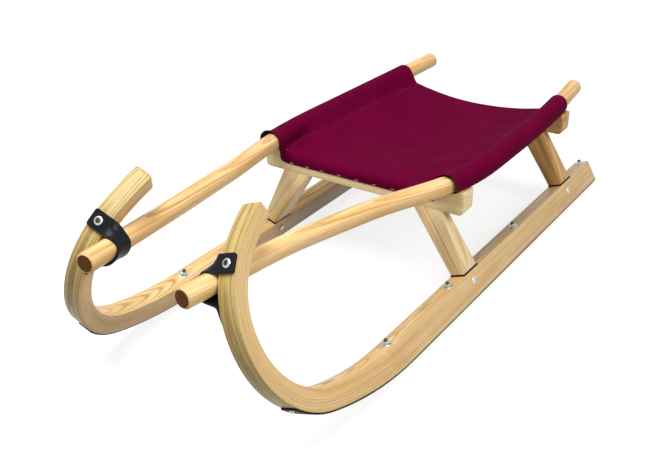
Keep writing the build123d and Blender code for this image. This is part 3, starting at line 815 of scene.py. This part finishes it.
# Waxed and worked, so it has a soft, slightly blue shine over a fine pebble. The pebble is
# drawn 1.4 mm coarse, and its shine changes over about 17 mm.
spot = add_node(tree, "TexCoord").outputs["Object"]
pebble = add_node(tree, "TexVoronoi", {"Vector": spot, "Scale": 700.0},
                  feature="F1").outputs["Distance"]
cloud = add_node(tree, "TexNoise", {"Vector": spot, "Scale": 60.0, "Detail": 3.0}).outputs[0]
colour = add_node(tree, "Mix", {0: cloud, 6: linear("#040508"), 7: linear("#10141E")},
                  data_type="RGBA").outputs[2]
rough = add_node(tree, "MapRange", {"Value": cloud, 3: 0.26, 4: 0.42}).outputs[0]
relief = add_node(tree, "Bump", {"Strength": 0.2, "Distance": 0.12 * MM,
                                 "Height": pebble}).outputs[0]
shader = add_node(tree, "BsdfPrincipled", {"Base Color": colour, "Roughness": rough,
                                           "Normal": relief, "Specular IOR Level": 0.16}).outputs[0]
add_node(tree, "OutputMaterial", {0: shader})
strap_half, strap_thick, strap_columns = 14 * MM, 3.4 * MM, 8
# Rows across the rounded corners of the strap's ends, inward from the end.
corner_radius, corner_steps = 4 * MM, (0.0, 0.25, 1.0, 2.2, 4.0)
# The tab's screw stands this far round the horn. Its rows are outward from the screw, and
# past the last it twists over to the rail.
tab_swing, tab_gap, tab_end = radians(40.6), 0.3 * MM, 14.4
tab_rows = (7, 3, -1, -5, -9, -12, -14.5)
twist_start, twist_pull = 15.5 * MM, 10 * MM
# The band goes round the rail between these angles, and forward to the tail as it does.
wrap_radius = 16.5 * MM + strap_thick / 2
wrap_first, wrap_last, wrap_step = 132, 252, 10
wrap_y, wrap_shift, shift_span = -540 * MM, 17 * MM, (135, 262)
band_y, tail_y = -542 * MM, -558 * MM
# It comes down to the tail, which lies half a runner's thickness from the sole's middle
# plane, below the rail.
leave_pull, land_pull = 14 * MM, 7 * MM
tail_side, tail_below = 14.95 * MM + strap_thick / 2, 30 * MM
tail_drops, tail_end = (0, 6, 12), 23.3
rail_reach = 5 * MM


def rail_ahead(y):
    """Direction of the left side rail at this y, towards the horns."""
    return (rail_at(y - rail_reach) - rail_at(y + rail_reach)).normalized()


def bezier(start, start_pull, end_pull, end, share):
    """Point of a cubic curve between two ends, each with its pull."""
    rest = 1 - share
    return (start * rest ** 3 + start_pull * 3 * rest * rest * share
            + end_pull * 3 * rest * share * share + end * share ** 3)


def corner_half(step):
    """Half the strap's width this far in from a rounded end."""
    return strap_half - corner_radius + (corner_radius ** 2
                                         - (corner_radius - step * MM) ** 2) ** 0.5


def strap_stations():
    """Middle, width direction and half width of the left strap, from the tab to the tail."""
    out, climb = runner_axes(1)
    centre, radius, heading, turn, run = bends[2]
    angle = heading - tab_swing
    reach = radius + strap_thick / 2 + tab_gap
    tab = sole_middle + climb * (centre.y + reach * cos(angle))
    tab.y = centre.x - reach * sin(angle)
    along_tab = Vector((0, cos(angle), 0)) + climb * sin(angle)

    def ring(degree):
        y = wrap_y - wrap_shift * smooth_step(*shift_span, degree)
        over = (out - rail_ahead(y) * out.dot(rail_ahead(y))).normalized()
        up = rail_ahead(y).cross(over)
        turned_to = radians(degree)
        return rail_at(y) + wrap_radius * (over * cos(turned_to) + up * sin(turned_to))

    stations = [(tab + out * (tab_end - step) * MM, along_tab, corner_half(step))
                for step in corner_steps]
    stations += [(tab + out * row * MM, along_tab, strap_half) for row in tab_rows]
    start, first = tab - out * twist_start, ring(wrap_first)
    slope = (ring(wrap_first + 1) - ring(wrap_first - 1)).normalized()
    for i in range(1, 10):
        share = i / 10
        across = along_tab.lerp(-rail_ahead(first.y), smooth_step(-0.1, 0.85, share))
        point = bezier(start, start - out * twist_pull, first - slope * twist_pull, first, share)
        stations.append((point, across, strap_half))
    for degree in range(wrap_first, wrap_last + 1, wrap_step):
        stations.append((ring(degree), -rail_ahead(band_y), strap_half))
    last = ring(wrap_last)
    slope = (last - ring(wrap_last - 2)).normalized()
    below = (rail_at(tail_y) - sole_middle).dot(climb) - tail_below
    tail = sole_middle - out * tail_side + climb * below
    tail.y = tail_y
    ahead = Vector((0, 1, 0))
    for i in range(1, 9):
        share = i / 9
        across = (-rail_ahead(tail_y)).lerp(ahead, share)
        point = bezier(last, last + slope * leave_pull, tail + climb * land_pull, tail, share)
        stations.append((point, across, strap_half))
    stations += [(tail - climb * drop * MM, ahead, strap_half) for drop in tail_drops]
    stations += [(tail - climb * (tail_end - step) * MM, ahead, corner_half(step))
                 for step in reversed(corner_steps)]
    return stations


stations = strap_stations()
for side, hand in hands:
    mesh = bmesh.new()
    grid = flat_grid(mesh, strap_columns, len(stations) - 1)
    for row, (middle, across, half_width) in enumerate(stations):
        before = stations[max(row - 1, 0)][0]
        after = stations[min(row + 1, len(stations) - 1)][0]
        ahead = (after - before).normalized()
        across = (across - ahead * across.dot(ahead)).normalized()
        for column in range(strap_columns + 1):
            point = middle + across * half_width * (2 * column / strap_columns - 1)
            # The leather stays outside the rail.
            offset, axis = point - rail_at(point.y), rail_ahead(point.y)
            arm = offset - axis * offset.dot(axis)
            if arm.length < wrap_radius:
                point += arm.normalized() * (wrap_radius - arm.length)
            vertex = grid[row * (strap_columns + 1) + column]
            vertex.co = (side * point.x, point.y, point.z)
    bmesh.ops.recalc_face_normals(mesh, faces=mesh.faces)
    strap = finish_piece(mesh, f"strap_band_{hand}", [leather], smooth_to=180)
    wall = strap.modifiers.new("Leather thickness", "SOLIDIFY")
    wall.thickness, wall.offset, wall.use_even_offset = strap_thick, 0, True
    rim = strap.modifiers.new("Rubbed edges", "BEVEL")
    rim.width, rim.segments, rim.limit_method, rim.angle_limit = 0.8 * MM, 3, "ANGLE", radians(50)
    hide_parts(f"strap_{hand}")

# Floor, light and camera: a plain pale studio. The floor is a sheet of paper that reaches out
# of view, and the lamps are large, so edges fall off softly.
floor_reach = 20
mesh = bmesh.new()
bmesh.ops.create_grid(mesh, x_segments=1, y_segments=1, size=floor_reach)
floor_data = bpy.data.meshes.new("floor")
mesh.to_mesh(floor_data)
mesh.free()
floor = bpy.data.objects.new("floor", floor_data)
bpy.context.scene.collection.objects.link(floor)


def seen_rays(tree):
    """1 on the rays that show the studio itself, straight or in metal and glass."""
    rays = add_node(tree, "LightPath")
    seen = add_node(tree, "Math", {0: rays.outputs["Is Camera Ray"],
                                   1: rays.outputs["Is Glossy Ray"]},
                    operation="MAXIMUM").outputs[0]
    return add_node(tree, "Math", {0: seen, 1: rays.outputs["Is Transmission Ray"]},
                    operation="MAXIMUM").outputs[0]


paper, tree = bare_material("White backdrop paper")
# Matt paper that looks evenly white, takes the soft shadow, and throws little light back.
glow = add_node(tree, "Emission", {"Color": (1, 1, 1, 1), "Strength": 0.82}).outputs[0]
matte = add_node(tree, "BsdfDiffuse", {"Color": (0.3, 0.3, 0.3, 1)}).outputs[0]
both = add_node(tree, "AddShader", {0: matte, 1: glow}).outputs[0]
shader = add_node(tree, "MixShader", {0: seen_rays(tree), 1: matte, 2: both}).outputs[0]
add_node(tree, "OutputMaterial", {0: shader})
floor_data.materials.append(paper)

world = bpy.data.worlds.new("Studio")
bpy.context.scene.world = world
world.use_nodes = True
tree = world.node_tree
tree.nodes.clear()
seen = seen_rays(tree)
strength = add_node(tree, "MapRange", {"Value": seen, 3: 0.25, 4: 1.0}).outputs[0]
# What lights the shaded sides is warm, as it comes off wood and paper.
tint = add_node(tree, "Mix", {0: seen, 6: linear("#FFF0DC"), 7: (1, 1, 1, 1)},
                data_type="RGBA").outputs[2]
sky = add_node(tree, "Background", {"Color": tint, "Strength": strength}).outputs[0]
add_node(tree, "OutputWorld", {0: sky})

# Both lamps look at the luge's middle.
lamp_aim, lamp_size = Vector((0, 0, 0.15)), 1.8
for name, place, watts in (("key", (-0.3, -1.0, 2.9), 86), ("fill", (3.2, -0.8, 2.5), 79)):
    light = bpy.data.lights.new(name, "AREA")
    light.size, light.energy = lamp_size, watts
    lamp = bpy.data.objects.new(name, light)
    lamp.location = place
    lamp.rotation_euler = (lamp_aim - Vector(place)).to_track_quat("-Z", "Y").to_euler()
    bpy.context.scene.collection.objects.link(lamp)

lens = bpy.data.cameras.new("camera")
lens.lens = 55.62
camera = bpy.data.objects.new("camera", lens)
camera.location = (0.8666, -1.4593, 0.9525)
camera.rotation_euler = (radians(90 - 27.612), 0, radians(32.696))
bpy.context.scene.collection.objects.link(camera)
bpy.context.scene.camera = camera
bpy.context.scene.view_settings.view_transform = "Standard"
